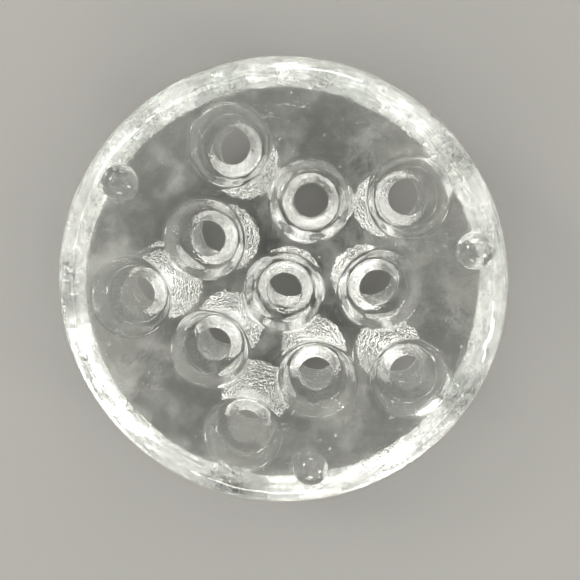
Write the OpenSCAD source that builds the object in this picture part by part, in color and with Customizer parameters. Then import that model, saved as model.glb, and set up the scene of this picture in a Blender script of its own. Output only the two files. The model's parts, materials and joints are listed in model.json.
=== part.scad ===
// Pressed glass flower frog: a low domed glass block with a flat underside,
// eleven upright stem holes and three moulded ball feet.
// Frame: millimetres, +Z up, origin on the resting surface under the middle of the dome.

/* [Body] */
// Widest diameter of the glass body
body_d = 97; // [84:1:120]
// Height of the body from its flat underside to the crown
body_h = 34; // [31:1:40]
// Rounding radius of the lower edge
edge_r = 5.5; // [3:0.5:7]
// Height of the middle of the shoulder arc above the flat underside
shoulder_z = 8; // [7:0.5:11]
// Radius of the shoulder between the side and the crown
shoulder_r = 18; // [14:1:21]

/* [Stem holes] */
// Diameter of the straight throat that grips a stem
throat_d = 7.4; // [6:0.2:9]
// Length of the straight throat
throat_h = 3; // [2:0.5:6]
// Diameter that a hole's slow widening would reach at the height of the crown
crown_hole_d = 12; // [10:0.5:13]
// How far under the crown the funnel at a hole's upper end starts
funnel_h = 3.5; // [2:0.25:4]
// Steepness of the funnel, degrees from level
funnel_a = 50; // [46:1:60]
// Width of the round recess at a hole's mouth, at the flat underside
recess_d = 16.2; // [15:0.2:16.6]
// Width of the recess at its floor
recess_floor_d = 13.8; // [13:0.2:14.4]
// Depth of the recess, from the flat underside to the throat
recess_h = 5; // [3.5:0.25:6.5]
// Rounding where the recess meets the flat underside
rim_r = 0.9; // [0.4:0.1:1]
// Rounding between the side of the recess and its floor
corner_r = 1.5; // [0.6:0.1:1.8]
// Number of holes in each ring
ring_count = 5; // [4:1:5]
// Diameter of the circle through the inner ring of holes
inner_ring_d = 39.8; // [38:0.2:44]
// Diameter of the circle through the outer ring of holes
outer_ring_d = 64.6; // [63:0.2:68]
// Sideways offset of the whole hole pattern from the middle of the body
pattern_x = 1; // [-1:0.25:1]

/* [Feet] */
// Diameter of a moulded ball foot
foot_d = 8; // [6:0.5:10]
// How far the feet stand out of the flat underside
foot_h = 3; // [1.5:0.25:4]
// Width of the small worn flat at the tip of a foot
tip_d = 2; // [1:0.25:3]
// Distance of the left foot from the middle of the body
foot_left_r = 39.8; // [38:0.2:41]
// Direction of the left foot, degrees from +X
foot_left_a = 217; // [205:1:224]
// Distance of the right foot from the middle of the body
foot_right_r = 41; // [38:0.2:41]
// Direction of the right foot, degrees from +X
foot_right_a = 349; // [344:1:356]
// Distance of the rear foot from the middle of the body
foot_rear_r = 39; // [38:0.2:41]
// Direction of the rear foot, degrees from +X
foot_rear_a = 82; // [76:1:88]

/* [Hidden] */
$fn = 96;
body_r = body_d / 2;
throat_r = throat_d / 2;
foot_r = foot_d / 2;
// Height of a foot's centre over its worn tip
foot_c = sqrt(pow(foot_r, 2) - pow(tip_d / 2, 2));
edge_x = body_r - edge_r;
shoulder_x = body_r - shoulder_r;
// The crown is one arc about a point on the axis that meets the shoulder arc
// without a corner, so its centre height follows from the other sizes.
crown_c = (pow(shoulder_x, 2) + pow(shoulder_z, 2) - pow(body_h - shoulder_r, 2))
    / (2 * (shoulder_z - (body_h - shoulder_r)));
crown_r = body_h - crown_c;
crown_a = atan2(shoulder_x, shoulder_z - crown_c);
tangent_x = crown_r * sin(crown_a);
// Height of the crown over the flat underside at distance r from the axis
function crown_z(r) = r < tangent_x
    ? crown_c + sqrt(pow(crown_r, 2) - pow(r, 2))
    : shoulder_z + sqrt(pow(shoulder_r, 2) - pow(r - shoulder_x, 2));
arc_steps = 16;
// A hole widens steadily above its throat, up to the funnel.
draft = (crown_hole_d / 2 - throat_r) / (body_h - recess_h - throat_h);
// How steep the side of a recess is, and how far its roundings reach along each side
side_a = atan2(recess_h, (recess_d - recess_floor_d) / 2);
rim_t = rim_r * tan(side_a / 2);
corner_t = corner_r * tan(side_a / 2);

// Points along an arc in the half profile, about [cx, cz], from angle a0 to a1.
function arc(cx, cz, r, a0, a1, n) =
    [for (i = [0:n]) let (a = a0 + (a1 - a0) * i / n) [cx + r * cos(a), cz + r * sin(a)]];

// Half profile of the body above its flat underside, from the axis outwards.
function body_outline() = concat(
    [[0, 0]],
    arc(edge_x, edge_r, edge_r, -90, 0, 10),
    arc(shoulder_x, shoulder_z, shoulder_r, 0, 90 - crown_a, arc_steps),
    [for (i = [1:arc_steps]) let (a = crown_a * (1 - i / arc_steps))
        [crown_r * sin(a), crown_c + crown_r * cos(a)]]
);

// A stem hole from the flat underside up: a round recess with soft edges, a
// straight throat, a stretch that widens slowly, then a funnel through the crown.
function mouth_outline() = concat(
    [[0, -1], [recess_d / 2 + rim_t, -1]],
    arc(recess_d / 2 + rim_t, rim_r, rim_r, -90, -90 - side_a, 5),
    arc(recess_floor_d / 2 - corner_t, recess_h - corner_r, corner_r, 90 - side_a, 90, 6),
    [[0, recess_h]]
);

module stem_hole(a, r) {
    z1 = crown_z(r) - funnel_h;
    r1 = throat_r + draft * (z1 - recess_h - throat_h);
    rotate([0, 0, a]) translate([r, 0, 0]) {
        rotate_extrude() polygon(mouth_outline());
        translate([0, 0, recess_h - 0.5])
            cylinder(h = throat_h + 1, r = throat_r);
        translate([0, 0, recess_h + throat_h])
            cylinder(h = z1 - recess_h - throat_h, r1 = throat_r, r2 = r1);
        translate([0, 0, z1])
            cylinder(h = funnel_h + 6, r1 = r1, r2 = r1 + (funnel_h + 6) / tan(funnel_a));
    }
}

module stem_holes() {
    translate([pattern_x, 0, 0]) {
        stem_hole(0, 0);
        for (i = [0:ring_count - 1]) {
            stem_hole(i * 360 / ring_count, inner_ring_d / 2);
            stem_hole((i + 0.5) * 360 / ring_count, outer_ring_d / 2);
        }
    }
}

module glass_body() {
    color([0.86, 0.90, 0.88, 0.45])
        translate([0, 0, foot_h])
            difference() {
                rotate_extrude() polygon(body_outline());
                stem_holes();
            }
}

// One ball foot: the part of a glass ball that stands out of the underside,
// with a small flat at its tip.
module ball_foot(a, r) {
    color([0.90, 0.93, 0.91, 0.45])
        rotate([0, 0, a]) translate([r, 0, 0])
            intersection() {
                translate([0, 0, foot_c]) sphere(d = foot_d);
                translate([-foot_d, -foot_d, 0]) cube([2 * foot_d, 2 * foot_d, foot_h]);
            }
}

module foot_left() { ball_foot(foot_left_a, foot_left_r); }
module foot_right() { ball_foot(foot_right_a, foot_right_r); }
module foot_rear() { ball_foot(foot_rear_a, foot_rear_r); }

glass_body();
foot_left();
foot_right();
foot_rear();
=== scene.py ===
import json
import math

import bpy
import numpy as np
from mathutils import Matrix, Vector, noise
from mathutils.geometry import delaunay_2d_cdt
from mathutils.kdtree import KDTree


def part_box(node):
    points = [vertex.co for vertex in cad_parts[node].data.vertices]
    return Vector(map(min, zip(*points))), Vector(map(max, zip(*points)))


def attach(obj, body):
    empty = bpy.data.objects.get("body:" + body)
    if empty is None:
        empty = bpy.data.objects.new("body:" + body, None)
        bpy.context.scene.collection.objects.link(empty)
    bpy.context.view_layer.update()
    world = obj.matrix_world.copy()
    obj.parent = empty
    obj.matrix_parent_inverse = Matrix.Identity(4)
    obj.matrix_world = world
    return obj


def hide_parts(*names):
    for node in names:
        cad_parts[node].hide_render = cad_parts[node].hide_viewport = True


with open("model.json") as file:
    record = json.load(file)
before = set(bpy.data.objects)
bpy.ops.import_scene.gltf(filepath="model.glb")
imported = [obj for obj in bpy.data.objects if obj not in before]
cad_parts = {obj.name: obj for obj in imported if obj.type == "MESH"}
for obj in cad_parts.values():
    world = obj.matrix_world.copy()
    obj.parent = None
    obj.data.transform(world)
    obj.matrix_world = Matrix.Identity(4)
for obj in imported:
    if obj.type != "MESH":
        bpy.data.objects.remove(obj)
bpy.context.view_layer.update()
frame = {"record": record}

MM = 0.001

# ------------------------------------------------------------------ sizes, mm
lo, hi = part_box("glass_body")
FLAT = lo[2] / MM                       # height of the flat underside
BODY_R = (hi[0] - lo[0]) / 2 / MM
BODY_H = 34.0
EDGE_R = 5.5
EDGE_X = BODY_R - EDGE_R
SH_Z, SH_R = 8.0, 18.0
SH_X = BODY_R - SH_R
CR_C = (SH_X**2 + SH_Z**2 - (BODY_H - SH_R) ** 2) / (2 * (SH_Z - (BODY_H - SH_R)))
CR_R = BODY_H - CR_C
TANGENT = CR_R * math.sin(math.atan2(SH_X, SH_Z - CR_C))
THROAT_R, THROAT_H = 3.7, 3.0
FLARE_H = 5.0                           # depth of a mouth's recess
FUNNEL_H = 3.5
FUNNEL = math.tan(math.radians(50))
DRAFT = (6.0 - THROAT_R) / (BODY_H - FLARE_H - THROAT_H)
HOLES = [
    (m["pos_m"][0] / MM, m["pos_m"][1] / MM)
    for m in frame["record"]["mounts"]
    if m["kind"] == "bore"
]
FEET = []
for name in ("foot_left", "foot_right", "foot_rear"):
    a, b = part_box(name)
    FEET.append(((a[0] + b[0]) / 2 / MM, (a[1] + b[1]) / 2 / MM))
FOOT_R = 4.0
FOOT_C = math.sqrt(FOOT_R**2 - 1.0)     # height of a foot's centre

U_OUT = 47.0                            # where the underside patch meets the side
C_OUT = 41.5                            # where the crown patch meets the side
AROUND = 320
RING = 64
MOUTH = 9.3                             # outer ring of a mouth's own patch
FOOT_OUT = 4.75


def crown(rho):
    """Height above the flat underside of the outside of the dome."""
    rho = np.asarray(rho, float)
    a = CR_C + np.sqrt(np.maximum(CR_R**2 - rho**2, 0))
    b = SH_Z + np.sqrt(np.maximum(SH_R**2 - (rho - SH_X) ** 2, 0))
    return np.where(rho < TANGENT, a, b)


def under(rho):
    """Height above the flat underside of the lower edge's rounding."""
    rho = np.asarray(rho, float)
    d = np.clip(rho - EDGE_X, 0, EDGE_R)
    return EDGE_R - np.sqrt(EDGE_R**2 - d**2)


def fbm(points, scale, seed, octaves=1):
    """Smooth noise at points, about -1 to 1, features about scale mm across."""
    out = np.zeros(len(points))
    amp = 1.0
    for k in range(octaves):
        f = (2.0**k) / scale
        off = Vector((seed * 13.7 + k * 5.1, seed * 7.3, seed * 3.9))
        out += amp * np.array([noise.noise(Vector(p) * f + off) for p in points])
        amp *= 0.5
    return out


def filleted(points, radii, step=0.35):
    """A polyline with its inner corners rounded."""
    out = [points[0]]
    for i in range(1, len(points) - 1):
        p0, p1, p2 = (np.array(points[k], float) for k in (i - 1, i, i + 1))
        u = (p0 - p1) / np.linalg.norm(p0 - p1)
        w = (p2 - p1) / np.linalg.norm(p2 - p1)
        half = math.acos(max(-1, min(1, float(u @ w)))) / 2
        r = radii[i - 1]
        t = r / math.tan(half)
        c = p1 + (u + w) / np.linalg.norm(u + w) * (r / math.sin(half))
        a0 = math.atan2(*(p1 + u * t - c)[::-1])
        a1 = math.atan2(*(p1 + w * t - c)[::-1])
        d = (a1 - a0 + math.pi) % (2 * math.pi) - math.pi
        n = max(3, int(abs(d) * r / step) + 1)
        for k in range(n + 1):
            a = a0 + d * k / n
            out.append((c[0] + r * math.cos(a), c[1] + r * math.sin(a)))
    out.append(points[-1])
    fine = [out[0]]
    for p in out[1:]:
        q = fine[-1]
        n = max(1, round(math.dist(p, q) / step))
        for k in range(1, n + 1):
            fine.append((q[0] + (p[0] - q[0]) * k / n, q[1] + (p[1] - q[1]) * k / n))
    return fine


MOUTH_LINE = filleted(
    [(MOUTH - 0.2, 0.0), (8.1, 0.0), (6.9, FLARE_H + 0.05), (THROAT_R, FLARE_H - 0.05), (THROAT_R, FLARE_H + 0.6)],
    [0.9, 1.5, 0.3],
)


class Mesh:
    """Collects points with a kind, and faces."""

    def __init__(self):
        self.v, self.f, self.wall, self.n = [], [], [], 0

    def add(self, pts, wall):
        start = self.n
        self.v.append(np.asarray(pts, float))
        self.wall.append(np.broadcast_to(np.asarray(wall, float), (len(pts),)).copy())
        self.n += len(pts)
        return start

    def rows(self, grid, wall, flip=False):
        """A closed band: grid is rows x around x 3."""
        r, c = grid.shape[:2]
        s = self.add(grid.reshape(-1, 3), np.repeat(wall, c))
        for i in range(r - 1):
            for j in range(c):
                k = (j + 1) % c
                q = [s + i * c + j, s + i * c + k, s + (i + 1) * c + k, s + (i + 1) * c + j]
                self.f.append(q[::-1] if flip else q)
        return s


def circle(cx, cy, r, n, start=0.0):
    t = start + 2 * np.pi * np.arange(n) / n
    return np.c_[cx + r * np.cos(t), cy + r * np.sin(t)]


def hexes(radius, step):
    pts = []
    rows = int(radius / (step * 0.866)) + 1
    for i in range(-rows, rows + 1):
        y = i * step * 0.866
        for j in range(-int(radius / step) - 1, int(radius / step) + 2):
            x = (j + 0.5 * (i % 2)) * step
            if x * x + y * y < radius * radius:
                pts.append((x, y))
    return np.array(pts)


def plate(mesh, out_r, holes, step, rings, height, wall, up):
    """A disc with round openings, as a triangle net over the plan, lifted by height(x, y)."""
    loops = [circle(0, 0, out_r, AROUND)]
    for x, y, r, n in holes:
        t = 2 * np.pi * np.arange(n) / n
        loops.append(np.c_[x + r * np.cos(t), y + r * np.sin(t)])

    def inside(p, x, y, r, n, grow):
        d = p - (x, y)
        a = (np.arctan2(d[:, 1], d[:, 0]) % (2 * np.pi)) / (2 * np.pi) * n
        ring = np.broadcast_to(r, (n,))
        i = np.floor(a).astype(int) % n
        w = a - np.floor(a)
        r0, r1 = ring[i], ring[(i + 1) % n]
        # distance to the straight side between two corners, along the ray
        th = 2 * np.pi / n
        edge = r0 * r1 * math.sin(th) / (r0 * np.sin(th * w) + r1 * np.sin(th * (1 - w)))
        return np.hypot(*d.T) < edge + grow

    inner = hexes((min(rings) if rings else out_r) - step * 0.6, step)
    for q, r in enumerate(rings):
        inner = np.vstack([inner, circle(0, 0, r, AROUND // 2 if q == 0 else AROUND, 0.0098 * (q % 2))])
    keep = np.ones(len(inner), bool)
    for x, y, r, n in holes:
        keep &= ~inside(inner, x, y, r, n, 2 * np.pi * float(np.mean(r)) / n * 0.65)
    inner = inner[keep]
    # the outline loops and the inner points, with the loops kept as edges of the net
    pts = np.vstack(loops + [inner])
    edges, at = [], 0
    for lp in loops:
        n = len(lp)
        edges += [(at + i, at + (i + 1) % n) for i in range(n)]
        at += n
    res = delaunay_2d_cdt([Vector(p) for p in pts], edges, [], 0, 1e-7)
    v2 = np.array([(p.x, p.y) for p in res[0]])
    z = height(v2[:, 0], v2[:, 1])
    s = mesh.add(np.c_[v2, z], wall)
    for tri in res[2]:
        c = v2[list(tri)].mean(0)
        if math.hypot(*c) > out_r or any(inside(c[None], x, y, r, n, 0.0)[0] for x, y, r, n in holes):
            continue
        a, b, d = (v2[i] for i in tri)
        area = (b[0] - a[0]) * (d[1] - a[1]) - (b[1] - a[1]) * (d[0] - a[0])
        t = [s + i for i in tri]
        self_up = area > 0
        mesh.f.append(t if self_up == up else t[::-1])


m = Mesh()

# underside, with openings for the mouths and the feet
plate(
    m,
    U_OUT,
    [(x, y, MOUTH, RING) for x, y in HOLES] + [(x, y, FOOT_OUT, 64) for x, y in FEET],
    1.15,
    [41.6, 42.6, 43.3, 44.0, 44.7, 45.3, 45.9, 46.5],
    lambda x, y: FLAT + under(np.hypot(x, y)),
    0.0,
    up=False,
)

# the funnel of each hole: where its bore ends, and how far it reaches in the crown
TH = 2 * np.pi * np.arange(RING) / RING
EDGE = 0.5
ENDS = []
for hx, hy in HOLES:
    z1 = float(crown(math.hypot(hx - HOLES[0][0], hy - HOLES[0][1]))) - FUNNEL_H
    r1 = THROAT_R + DRAFT * (z1 - FLARE_H - THROAT_H)
    a, b = np.full(RING, r1), np.full(RING, r1 + 12.0)
    for _ in range(40):
        mid = (a + b) / 2
        over = z1 + (mid - r1) * FUNNEL > crown(np.hypot(hx + mid * np.cos(TH), hy + mid * np.sin(TH)))
        b = np.where(over, mid, b)
        a = np.where(over, a, mid)
    ENDS.append((z1, r1, (a + b) / 2))

# crown
plate(
    m,
    C_OUT,
    [(x, y, e[2] + EDGE, RING) for (x, y), e in zip(HOLES, ENDS)],
    1.15,
    [39.6, 40.6],
    lambda x, y: FLAT + crown(np.hypot(x, y)),
    0.0,
    up=True,
)

# side: shoulder, short straight wall, lower edge
prof = []
a0 = math.acos((C_OUT - SH_X) / SH_R)
for i in range(20):
    a = a0 * (1 - i / 19)
    prof.append((SH_X + SH_R * math.cos(a), SH_Z + SH_R * math.sin(a)))
for i in range(1, 4):
    prof.append((BODY_R, SH_Z + (EDGE_R - SH_Z) * i / 3))
a1 = math.acos((U_OUT - EDGE_X) / EDGE_R)
for i in range(1, 11):
    a = -a1 * i / 10
    prof.append((EDGE_X + EDGE_R * math.cos(a), EDGE_R + EDGE_R * math.sin(a)))
t = 2 * np.pi * np.arange(AROUND) / AROUND
grid = np.array([np.c_[r * np.cos(t), r * np.sin(t), np.full(AROUND, FLAT + z)] for r, z in prof])
m.rows(grid, np.zeros(len(prof)), flip=True)

# stem holes: mouth, throat, widening stretch, rounded end in the crown
for k, (hx, hy) in enumerate(HOLES):
    t = 2 * np.pi * np.arange(RING) / RING
    c, s = np.cos(t), np.sin(t)

    def at(r, z):
        r = np.broadcast_to(r, (RING,))
        z = np.broadcast_to(z, (RING,))
        return np.c_[hx + r * c, hy + r * s, FLAT + z]

    rows, wall = [], []
    rho = np.hypot(hx + MOUTH * c, hy + MOUTH * s)
    rows.append(at(MOUTH, under(rho)))
    wall.append(0.0)
    for r, z in MOUTH_LINE:
        rho = np.hypot(hx + r * c, hy + r * s)
        rows.append(at(r, z + under(rho)))
        wall.append(0.12 if z > 0.2 else 0.0)
    # the slow widening, up to where the funnel starts
    z0 = FLARE_H + 0.6
    z1, r1, reach = ENDS[k]
    n_up = 50
    turn = 0.8                          # rounding between bore and funnel
    for i in range(1, n_up + 1):
        z = z0 + (z1 - turn - z0) * i / n_up
        rows.append(at(THROAT_R + DRAFT * max(z - FLARE_H - THROAT_H, 0), z))
        wall.append(1.0)
    ra, za = THROAT_R + DRAFT * (z1 - turn - FLARE_H - THROAT_H), z1 - turn
    rb, zb = r1 + turn / FUNNEL * 0.9, z1 + turn * 0.9
    for u in (0.25, 0.5, 0.75, 1.0):
        r = (1 - u) ** 2 * ra + 2 * u * (1 - u) * r1 + u * u * rb
        z = (1 - u) ** 2 * za + 2 * u * (1 - u) * z1 + u * u * zb
        rows.append(at(r, z))
        wall.append(0.9)
    # the funnel, then its rounded edge on the crown
    rc = reach - EDGE * 0.8
    zc = z1 + (rc - r1) * FUNNEL
    for i in range(1, 13):
        u = i / 12
        rows.append(at(rb + (rc - rb) * u, zb + (zc - zb) * u))
        wall.append(0.9 - 0.3 * u)
    ro = reach + EDGE
    zo = crown(np.hypot(hx + ro * c, hy + ro * s))
    ze = z1 + (reach - r1) * FUNNEL
    for u in (0.2, 0.4, 0.6, 0.8, 1.0):
        r = (1 - u) ** 2 * rc + 2 * u * (1 - u) * reach + u * u * ro
        z = (1 - u) ** 2 * zc + 2 * u * (1 - u) * ze + u * u * zo
        rows.append(at(r, z))
        wall.append(0.6 * (1 - u))
    m.rows(np.array(rows), np.array(wall), flip=True)

# feet: part of a ball, eased into the underside
for fx, fy in FEET:
    n = 64
    t = 2 * np.pi * np.arange(n) / n
    c, s = np.cos(t), np.sin(t)
    rows = []

    def at(r, z):
        return np.c_[fx + r * c, fy + r * s, np.broadcast_to(z, (n,))]

    base = FLAT + under(np.hypot(fx + FOOT_OUT * c, fy + FOOT_OUT * s))
    rows.append(at(FOOT_OUT, base))
    b_r = 3.92
    b_z = FOOT_C - math.sqrt(FOOT_R**2 - b_r**2)
    for u in (0.25, 0.5, 0.75):
        r = (1 - u) ** 2 * FOOT_OUT + 2 * u * (1 - u) * (b_r + 0.12) + u * u * b_r
        z = (1 - u) ** 2 * base + 2 * u * (1 - u) * (FLAT + under(np.hypot(fx + 4 * c, fy + 4 * s))) + u * u * b_z
        rows.append(at(r, z))
    top = math.asin(b_r / FOOT_R)
    for i in range(17):
        a = top * (1 - i / 17) + 0.0
        rows.append(at(FOOT_R * math.sin(a), max(FOOT_C - FOOT_R * math.cos(a), 0.0)))
    st = m.rows(np.array(rows), np.zeros(len(rows)), flip=True)
    last = st + (len(rows) - 1) * n
    tip = m.add([[fx, fy, 0.0]], 0.0)
    for j in range(n):
        m.f.append([last + (j + 1) % n, last + j, tip])

# small seed bubbles in the glass, as hollow spheres
rng = np.random.default_rng(7)
n_b = 0
while n_b < 130:
    a, q = rng.uniform(0, 2 * math.pi), 43 * math.sqrt(rng.uniform(0, 1))
    x, y = q * math.cos(a), q * math.sin(a)
    z = FLAT + rng.uniform(1.5, float(crown(q)) - 2.0)
    if min(math.hypot(x - hx, y - hy) for hx, hy in HOLES) < 9.6:
        continue
    r = 0.10 + 0.22 * rng.uniform(0, 1) ** 3
    lat, lon = 6, 10
    grid = []
    for i in range(1, lat):
        p = math.pi * i / lat
        t = 2 * np.pi * np.arange(lon) / lon
        grid.append(np.c_[x + r * math.sin(p) * np.cos(t), y + r * math.sin(p) * np.sin(t),
                          np.full(lon, z + r * math.cos(p))])
    st = m.rows(np.array(grid), np.zeros(lat - 1))
    top, bot = m.add([[x, y, z + r]], 0.0), m.add([[x, y, z - r]], 0.0)
    for j in range(lon):
        m.f.append([top, st + (j + 1) % lon, st + j])
        e = st + (lat - 2) * lon
        m.f.append([bot, e + j, e + (j + 1) % lon])
    n_b += 1

V = np.vstack(m.v)
W = np.concatenate(m.wall)


def weld(V, W, F):
    """One vertex for each place."""
    kd = KDTree(len(V))
    for i, p in enumerate(V):
        kd.insert(p, i)
    kd.balance()
    low = np.array([min(q[1] for q in kd.find_range(p, 2e-3)) for p in V])
    first, inv = np.unique(low, return_inverse=True)
    inv = inv.reshape(-1)
    out = []
    for f in F:
        g = [int(inv[i]) for i in f]
        h = [g[i] for i in range(len(g)) if g[i] != g[i - 1]]
        if len(h) >= 3:
            out.append(h)
    return V[first], W[first], out


V, W, F = weld(V, W, m.f)


def build(name, V, F, attrs=None):
    me = bpy.data.meshes.new(name)
    me.from_pydata((V * MM).tolist(), [], F)
    me.update()
    ob = bpy.data.objects.new(name, me)
    bpy.context.scene.collection.objects.link(ob)
    me.shade_smooth()
    for key, vals in (attrs or {}).items():
        at = me.attributes.new(key, "FLOAT", "POINT")
        at.data.foreach_set("value", np.asarray(vals, np.float32))
    return ob


glass_ob = build("glass_casting", V, F, {"wall": W})
me = glass_ob.data
n = np.zeros(len(V) * 3)
me.vertices.foreach_get("normal", n)
N = n.reshape(-1, 3)

# relief: slow waves of pressed glass all over, pebbled walls in the holes
P = V
slow = 0.10 * fbm(P, 11.0, 1) + 0.045 * fbm(P, 4.6, 2)
pebble = 0.16 * fbm(P, 1.5, 3) + 0.10 * fbm(P, 0.95, 6) + 0.10 * fbm(P, 4.0, 4)
rho = np.hypot(P[:, 0], P[:, 1])
lip = np.exp(-(((rho - 43.6) / 0.9) ** 2)) * (P[:, 2] < FLAT + 3) * (0.10 + 0.22 * fbm(P, 3.2, 5))
foot = np.zeros(len(P))
for fx, fy in FEET:
    foot = np.maximum(foot, np.clip(1.25 - np.hypot(P[:, 0] - fx, P[:, 1] - fy) / 6.0, 0, 1) * (P[:, 2] < FLAT + 1.5))
disp = slow * (1 - W) * (1 - foot) + pebble * W + lip * (1 - foot)
disp = np.where(P[:, 2] < 0.3, 0, disp)
# the widest part is never pushed past the CAD's own outline
wide = np.clip((rho - 46.0) / 1.5, 0, 1)
disp = np.where(wide > 0, np.minimum(disp, 0.1 * (1 - wide)) - 0.03 * wide, disp)
V2 = V + N * disp[:, None]
me.vertices.foreach_set("co", (V2 * MM).reshape(-1))
me.update()
print("glass mesh", len(V2), "points", len(F), "faces")


# ------------------------------------------------------------------ material
def glass_material():
    mat = bpy.data.materials.new("clear_pressed_glass")
    mat.use_nodes = True
    nt = mat.node_tree
    nt.nodes.clear()
    out = nt.nodes.new("ShaderNodeOutputMaterial")
    b = nt.nodes.new("ShaderNodeBsdfPrincipled")
    b.inputs["IOR"].default_value = 1.51
    b.inputs["Transmission Weight"].default_value = 1.0
    b.inputs["Metallic"].default_value = 0.0
    # light for the floor passes the glass, a little less at steep edges
    lp = nt.nodes.new("ShaderNodeLightPath")
    lw = nt.nodes.new("ShaderNodeLayerWeight")
    lw.inputs["Blend"].default_value = 0.35
    sr = nt.nodes.new("ShaderNodeValToRGB")
    sr.color_ramp.elements[0].color = (0.97, 0.975, 0.97, 1)
    sr.color_ramp.elements[1].color = (0.45, 0.47, 0.46, 1)
    nt.links.new(lw.outputs["Facing"], sr.inputs[0])
    st = nt.nodes.new("ShaderNodeBsdfTransparent")
    nt.links.new(sr.outputs[0], st.inputs["Color"])
    ms = nt.nodes.new("ShaderNodeMixShader")
    nt.links.new(lp.outputs["Is Shadow Ray"], ms.inputs[0])
    nt.links.new(b.outputs[0], ms.inputs[1])
    nt.links.new(st.outputs[0], ms.inputs[2])
    nt.links.new(ms.outputs[0], out.inputs["Surface"])
    co = nt.nodes.new("ShaderNodeTexCoord")
    at = nt.nodes.new("ShaderNodeAttribute")
    at.attribute_name = "wall"
    # colour: faint green-grey, slightly uneven
    n1 = nt.nodes.new("ShaderNodeTexNoise")
    n1.inputs["Scale"].default_value = 45.0
    n1.inputs["Detail"].default_value = 4.0
    nt.links.new(co.outputs["Object"], n1.inputs["Vector"])
    r1 = nt.nodes.new("ShaderNodeValToRGB")
    r1.color_ramp.elements[0].position = 0.3
    r1.color_ramp.elements[0].color = (0.74, 0.765, 0.75, 1)
    r1.color_ramp.elements[1].position = 0.7
    r1.color_ramp.elements[1].color = (0.85, 0.865, 0.85, 1)
    nt.links.new(n1.outputs["Fac"], r1.inputs[0])
    nt.links.new(r1.outputs[0], b.inputs["Base Color"])
    # a thin uneven film over the whole glass
    n5 = nt.nodes.new("ShaderNodeTexNoise")
    n5.inputs["Scale"].default_value = 120.0
    n5.inputs["Detail"].default_value = 6.0
    n5.inputs["Roughness"].default_value = 0.65
    nt.links.new(co.outputs["Object"], n5.inputs["Vector"])
    hz = nt.nodes.new("ShaderNodeMapRange")
    hz.inputs["From Min"].default_value = 0.50
    hz.inputs["From Max"].default_value = 0.72
    hz.inputs["To Min"].default_value = 1.0
    hz.inputs["To Max"].default_value = 0.80
    nt.links.new(n5.outputs["Fac"], hz.inputs["Value"])
    nt.links.new(hz.outputs[0], b.inputs["Transmission Weight"])
    # roughness: clear outside, a little frosted in the holes
    n2 = nt.nodes.new("ShaderNodeTexNoise")
    n2.inputs["Scale"].default_value = 380.0
    n2.inputs["Detail"].default_value = 3.0
    nt.links.new(co.outputs["Object"], n2.inputs["Vector"])
    rr = nt.nodes.new("ShaderNodeMapRange")
    rr.inputs["From Min"].default_value = 0.45
    rr.inputs["From Max"].default_value = 0.8
    rr.inputs["To Min"].default_value = 0.0
    rr.inputs["To Max"].default_value = 0.03
    nt.links.new(n2.outputs["Fac"], rr.inputs["Value"])
    ad = nt.nodes.new("ShaderNodeMath")
    ad.operation = "MULTIPLY_ADD"
    ad.inputs[1].default_value = 0.02
    nt.links.new(at.outputs["Fac"], ad.inputs[0])
    nt.links.new(rr.outputs[0], ad.inputs[2])
    nt.links.new(ad.outputs[0], b.inputs["Roughness"])
    # bump: fine orange peel all over, coarse grain on the walls
    n3 = nt.nodes.new("ShaderNodeTexNoise")
    n3.inputs["Scale"].default_value = 330.0
    n3.inputs["Detail"].default_value = 4.0
    nt.links.new(co.outputs["Object"], n3.inputs["Vector"])
    n4 = nt.nodes.new("ShaderNodeTexVoronoi")
    n4.inputs["Scale"].default_value = 1700.0
    nt.links.new(co.outputs["Object"], n4.inputs["Vector"])
    mx = nt.nodes.new("ShaderNodeMath")
    mx.operation = "MULTIPLY"
    nt.links.new(n4.outputs["Distance"], mx.inputs[0])
    nt.links.new(at.outputs["Fac"], mx.inputs[1])
    b1 = nt.nodes.new("ShaderNodeBump")
    b1.inputs["Strength"].default_value = 1.0
    b1.inputs["Distance"].default_value = 0.0004
    nt.links.new(mx.outputs[0], b1.inputs["Height"])
    b2 = nt.nodes.new("ShaderNodeBump")
    b2.inputs["Strength"].default_value = 1.0
    b2.inputs["Distance"].default_value = 0.00006
    nt.links.new(n3.outputs["Fac"], b2.inputs["Height"])
    nt.links.new(b1.outputs[0], b2.inputs["Normal"])
    nt.links.new(b2.outputs[0], b.inputs["Normal"])
    return mat


glass_ob.data.materials.append(glass_material())
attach(glass_ob, "root")
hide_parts("glass_body", "foot_left", "foot_right", "foot_rear")


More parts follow.
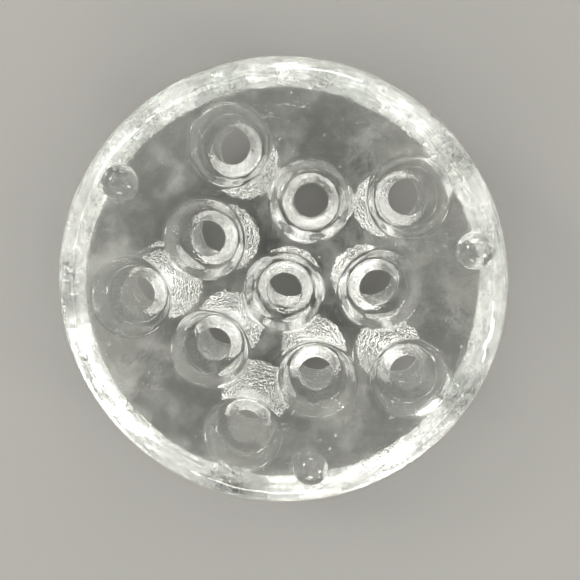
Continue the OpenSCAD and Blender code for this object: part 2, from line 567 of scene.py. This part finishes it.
# ------------------------------------------------------------------ stage
def one_sided(name, colour, rule):
    """Diffuse from its front, clear from behind. rule: which paths see it."""
    mat = bpy.data.materials.new(name)
    mat.use_nodes = True
    nt = mat.node_tree
    nt.nodes.clear()
    out = nt.nodes.new("ShaderNodeOutputMaterial")
    d = nt.nodes.new("ShaderNodeBsdfDiffuse")
    d.inputs["Color"].default_value = (*colour, 1)
    tr = nt.nodes.new("ShaderNodeBsdfTransparent")
    mix = nt.nodes.new("ShaderNodeMixShader")
    geo = nt.nodes.new("ShaderNodeNewGeometry")
    lp = nt.nodes.new("ShaderNodeLightPath")

    def math_(op, a, b=None):
        x = nt.nodes.new("ShaderNodeMath")
        x.operation = op
        for i, s in enumerate((a, b)):
            if s is None:
                continue
            if isinstance(s, (int, float)):
                x.inputs[i].default_value = s
            else:
                nt.links.new(s, x.inputs[i])
        return x.outputs[0]

    hide = math_("GREATER_THAN", lp.outputs["Diffuse Depth"], 0.5)
    # a ray that has been reflected inside the glass sees the room, not the sheet
    other = math_("GREATER_THAN", lp.outputs["Glossy Depth"], 0.5)
    if rule == "near_axis":
        co = nt.nodes.new("ShaderNodeTexCoord")
        far = nt.nodes.new("ShaderNodeVectorMath")
        far.operation = "LENGTH"
        nt.links.new(co.outputs["Object"], far.inputs[0])
        other = math_("MULTIPLY", other, math_("LESS_THAN", far.outputs["Value"], 0.042))
    fac = math_("MAXIMUM", math_("MAXIMUM", geo.outputs["Backfacing"], hide), other)
    nt.links.new(fac, mix.inputs[0])
    nt.links.new(d.outputs[0], mix.inputs[1])
    nt.links.new(tr.outputs[0], mix.inputs[2])
    nt.links.new(mix.outputs[0], out.inputs["Surface"])
    return mat


def sheet(name, z, facing, mat, size=3.0):
    s = size
    pts = [(-s, -s, z), (s, -s, z), (s, s, z), (-s, s, z)]
    me = bpy.data.meshes.new(name)
    me.from_pydata(pts, [], [[0, 1, 2, 3] if facing > 0 else [3, 2, 1, 0]])
    ob = bpy.data.objects.new(name, me)
    bpy.context.scene.collection.objects.link(ob)
    me.materials.append(mat)
    ob.visible_shadow = False
    return ob


PALE = (0.33, 0.33, 0.327)
sheet("table", (FLAT + BODY_H + 0.12) * MM, -1, one_sided("pale_table", PALE, "near_axis"), 0.15)
sheet("floor", -0.0002, 1, one_sided("pale_floor", (0.27, 0.27, 0.266), "straight"))


def area(name, loc, target, size, size_y, power, colour=(1, 1, 1)):
    li = bpy.data.lights.new(name, "AREA")
    li.shape = "RECTANGLE"
    li.size, li.size_y = size, size_y
    li.energy = power
    li.color = colour
    ob = bpy.data.objects.new(name, li)
    bpy.context.scene.collection.objects.link(ob)
    ob.location = loc
    d = Vector(target) - Vector(loc)
    ob.rotation_euler = d.to_track_quat("-Z", "Y").to_euler()
    return ob


WARM = (1.0, 0.965, 0.91)
# on the underside's side
area("low_key", (-0.42, -0.28, -0.42), (0, 0, 0.02), 0.17, 0.14, 1.55, WARM)
area("low_top", (0.10, -0.62, -0.22), (0, 0, 0.02), 0.30, 0.10, 1.1, WARM)
area("low_fill", (0.50, 0.22, -0.30), (0, 0, 0.02), 0.12, 0.20, 1.0, WARM)
area("low_back", (-0.12, 0.55, -0.30), (0, 0, 0.02), 0.26, 0.10, 0.9, WARM)
# on the crown's side
area("high_key", (-0.5, -0.5, 0.75), (0, 0, 0.02), 0.35, 0.25, 6)
area("high_fill", (0.7, -0.2, 0.45), (0, 0, 0.02), 0.3, 0.4, 2.6)
area("high_back", (0.0, 0.8, 0.5), (0, 0, 0.02), 0.5, 0.2, 2.6)

world = bpy.data.worlds.new("studio")
bpy.context.scene.world = world
world.use_nodes = True
nt = world.node_tree
nt.nodes.clear()
wo = nt.nodes.new("ShaderNodeOutputWorld")
bg1 = nt.nodes.new("ShaderNodeBackground")
tc = nt.nodes.new("ShaderNodeTexCoord")
sx = nt.nodes.new("ShaderNodeSeparateXYZ")
nt.links.new(tc.outputs["Generated"], sx.inputs[0])
cr = nt.nodes.new("ShaderNodeValToRGB")
ramp = cr.color_ramp
ramp.elements[0].position = 0.0
ramp.elements[0].color = (0.9, 0.88, 0.82, 1)
ramp.elements[1].position = 1.0
ramp.elements[1].color = (1.0, 0.98, 0.92, 1)
for pos, v in ((0.12, 1.15), (0.24, 0.75), (0.34, 0.22), (0.50, 0.15), (0.60, 0.35), (0.72, 1.0)):
    e = ramp.elements.new(pos)
    e.color = (v, v * 0.98, v * 0.92, 1)
mr = nt.nodes.new("ShaderNodeMapRange")
mr.inputs["From Min"].default_value = -1.0
mr.inputs["From Max"].default_value = 1.0
nt.links.new(sx.outputs["Z"], mr.inputs["Value"])
nt.links.new(mr.outputs[0], cr.inputs[0])
# soft panels and gaps round the room
nz = nt.nodes.new("ShaderNodeTexNoise")
nz.inputs["Scale"].default_value = 5.0
nz.inputs["Detail"].default_value = 3.0
nt.links.new(tc.outputs["Generated"], nz.inputs["Vector"])
pn = nt.nodes.new("ShaderNodeMapRange")
pn.interpolation_type = "SMOOTHSTEP"
pn.inputs["From Min"].default_value = 0.44
pn.inputs["From Max"].default_value = 0.60
pn.inputs["To Min"].default_value = 0.05
pn.inputs["To Max"].default_value = 0.92
nt.links.new(nz.outputs["Fac"], pn.inputs["Value"])
sm = nt.nodes.new("ShaderNodeVectorMath")
sm.operation = "SCALE"
nt.links.new(cr.outputs[0], sm.inputs[0])
nt.links.new(pn.outputs[0], sm.inputs["Scale"])
nt.links.new(sm.outputs[0], bg1.inputs[0])
bg1.inputs[1].default_value = 2.1
# straight behind the floor it is plain and pale
bg2 = nt.nodes.new("ShaderNodeBackground")
bg2.inputs[0].default_value = (0.5, 0.5, 0.494, 1)
lpw = nt.nodes.new("ShaderNodeLightPath")
mxw = nt.nodes.new("ShaderNodeMixShader")
nt.links.new(lpw.outputs["Is Camera Ray"], mxw.inputs[0])
nt.links.new(bg1.outputs[0], mxw.inputs[1])
nt.links.new(bg2.outputs[0], mxw.inputs[2])
nt.links.new(mxw.outputs[0], wo.inputs["Surface"])

# ------------------------------------------------------------------ camera
cam = bpy.data.cameras.new("camera")
cam.sensor_fit = "HORIZONTAL"
cam.sensor_width = 36.0
cam.lens = 36.0 * 640 / 580
cam.clip_start = 0.005
cam.clip_end = 20
cam_ob = bpy.data.objects.new("camera", cam)
bpy.context.scene.collection.objects.link(cam_ob)
AX = Matrix((
    (0.9982960555, 0.0347930582, 0.0468447284),
    (0.0269502203, -0.9869566216, 0.1587145633),
    (0.0517558799, -0.1571816468, -0.9862125830),
)).transposed()
cam_ob.matrix_world = Matrix.Translation(Vector((9.2787, -21.694, -128.4638)) * MM) @ AX.to_4x4()
bpy.context.scene.camera = cam_ob

sc = bpy.context.scene
sc.cycles.max_bounces = 28
sc.cycles.transmission_bounces = 24
sc.cycles.glossy_bounces = 16
sc.cycles.transparent_max_bounces = 16
sc.cycles.sample_clamp_indirect = 0.0
sc.cycles.caustics_reflective = False
sc.cycles.caustics_refractive = False
sc.cycles.blur_glossy = 0.0
sc.view_settings.view_transform = "Standard"
sc.view_settings.look = "Medium High Contrast"
